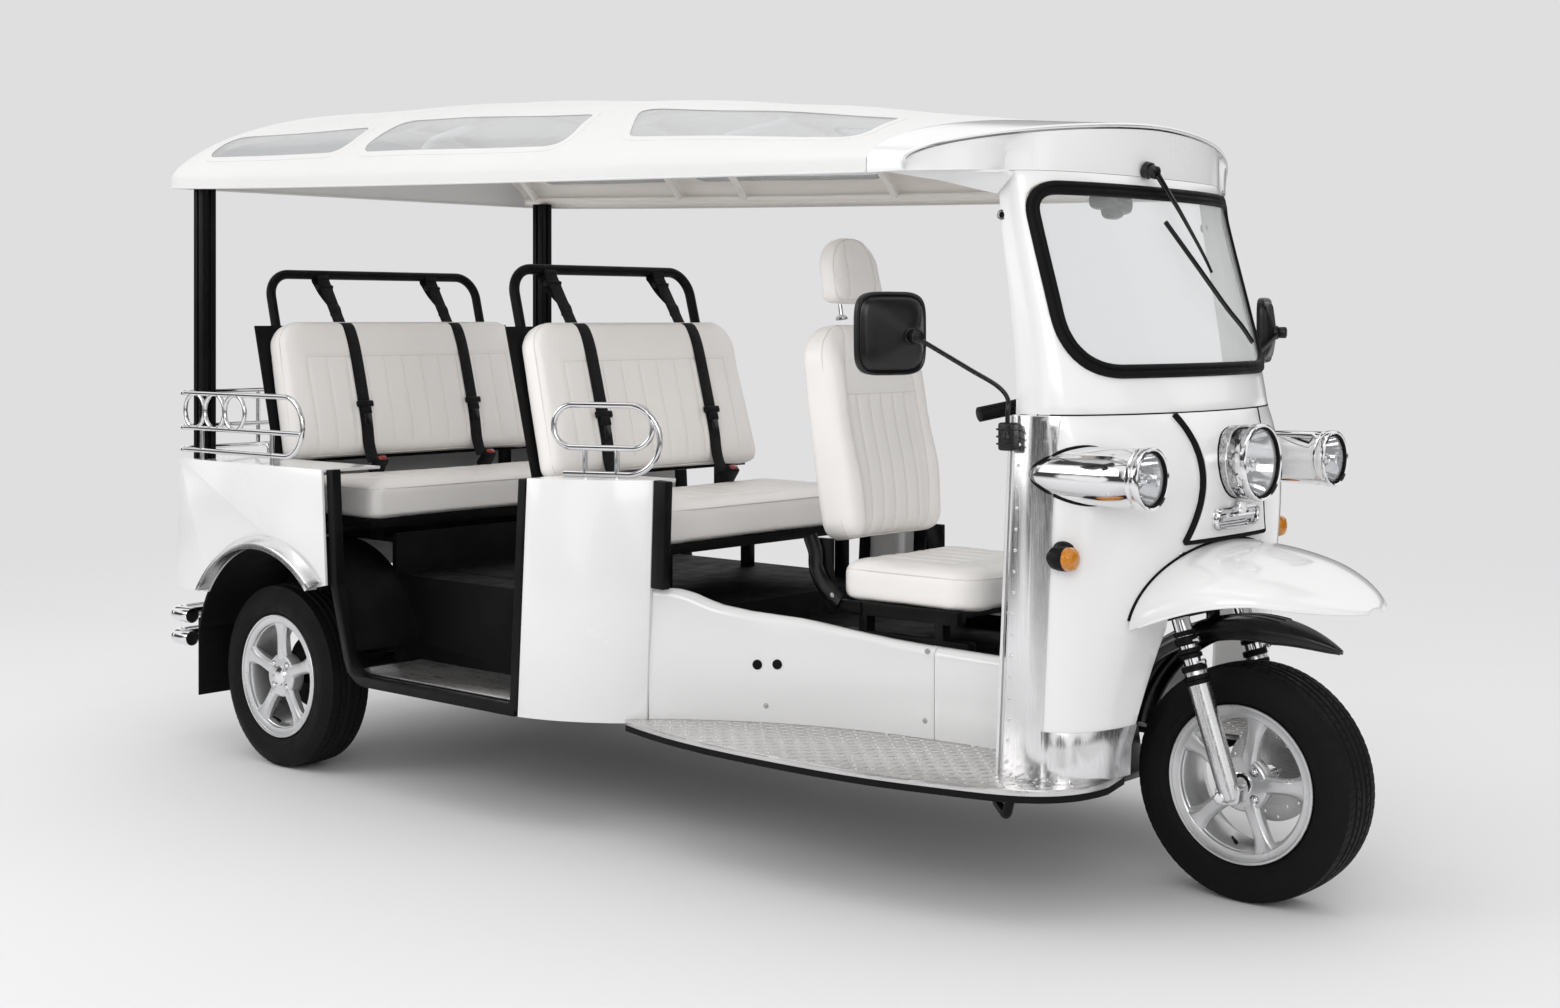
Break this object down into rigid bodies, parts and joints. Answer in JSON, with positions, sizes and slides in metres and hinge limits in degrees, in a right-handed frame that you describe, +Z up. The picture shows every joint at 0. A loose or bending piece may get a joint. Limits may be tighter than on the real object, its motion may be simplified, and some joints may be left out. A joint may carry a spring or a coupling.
{
  "type": "auto rickshaw",
  "caption": "Open-sided passenger auto rickshaw with a steered front fork, driver's seat, passenger benches, chrome rails and a fabric canopy with clear panels.",
  "frame": {"origin": "on the ground, at the middle of the bounding box in plan", "axes": "+X forward along the vehicle, +Y to the vehicle's left, +Z up"},
  "size_m": [3.6961, 1.8024, 1.9859],
  "materials": {
    "alloy_rim": "satin silver lacquer",
    "tyre": "matt rubber",
    "disc_steel": "machined",
    "fork_chrome": "bright",
    "black_plastic": "fine grain",
    "black_frame": "satin black",
    "black_floor": "satin black",
    "axle_black": "matt black",
    "white_body": "gloss white",
    "polished_trim": "polished",
    "red_lens": "clear red",
    "black_rubber": "matt",
    "chrome": "bright",
    "tread_plate": "five bar tread",
    "clear_glass": "clear",
    "canopy_fabric": "coated fabric",
    "pale_frame": "satin",
    "amber_lens": "clear amber",
    "cream_vinyl": "smooth vinyl",
    "belt_webbing": "woven webbing"
  },
  "bodies": {
    "chassis": {"chassis_frame": "black_frame", "step_brackets": "black_frame", "floor_tub": "black_floor", "drive_unit": "axle_black", "rear_body": "white_body", "arch_flares": "polished_trim", "tail_lamps": "red_lens", "mud_flaps": "black_rubber", "rear_bumper": "chrome", "door_frames": "black_frame", "mid_side_panels": "white_body", "step_plates": "tread_plate", "driver_plinth": "white_body", "running_boards": "tread_plate", "front_cowl": "white_body", "nose_panel": "white_body", "rubber_trim": "black_rubber", "cowl_strips": "polished_trim", "front_fender": "white_body", "screen_cowl": "white_body", "screen_gasket": "black_rubber", "windscreen": "clear_glass", "canopy": "canopy_fabric", "canopy_windows": "clear_glass", "roof_frame": "pale_frame", "rear_pillars": "black_frame", "roof_visor": "white_body", "screen_brow": "white_body", "front_lamps": "chrome", "lamp_lenses": "clear_glass", "turn_signals": "amber_lens", "nose_bar": "chrome", "mirrors": "black_plastic", "tail_rail": "chrome", "side_rails": "chrome", "bench_frames": "black_frame", "rear_bench_cushion": "cream_vinyl", "rear_bench_back": "cream_vinyl", "mid_bench_cushion": "cream_vinyl", "mid_bench_back": "cream_vinyl", "seat_belts": "belt_webbing", "driver_seat_frame": "black_frame", "driver_cushion": "cream_vinyl", "driver_backrest": "cream_vinyl", "driver_headrest": "cream_vinyl", "headrest_posts": "chrome"},
    "steering": {"fork": "fork_chrome", "handlebar": "black_plastic", "fork_mudguard": "black_plastic"},
    "front_wheel": {"front_rim": "alloy_rim", "front_tyre": "tyre", "front_brake_disc": "disc_steel"},
    "rear_right_wheel": {"rear_right_rim": "alloy_rim", "rear_right_tyre": "tyre"},
    "rear_left_wheel": {"rear_left_rim": "alloy_rim", "rear_left_tyre": "tyre"}
  },
  "joints": [
    {"name": "steering_turn", "type": "hinge", "parent": "chassis", "child": "steering", "pos_m": [1.558, 0, 0.266], "axis": [-0.314, 0, 0.9494], "range_deg": [-30, 30]},
    {"name": "front_wheel_spin", "type": "hinge", "parent": "steering", "child": "front_wheel", "pos_m": [1.543, 0, 0.266], "axis": [0, 1, 0], "continuous": true},
    {"name": "rear_right_spin", "type": "hinge", "parent": "chassis", "child": "rear_right_wheel", "pos_m": [-1.243, -0.62, 0.266], "axis": [0, 1, 0], "continuous": true},
    {"name": "rear_left_spin", "type": "hinge", "parent": "chassis", "child": "rear_left_wheel", "pos_m": [-1.243, 0.62, 0.266], "axis": [0, 1, 0], "continuous": true}
  ]
}
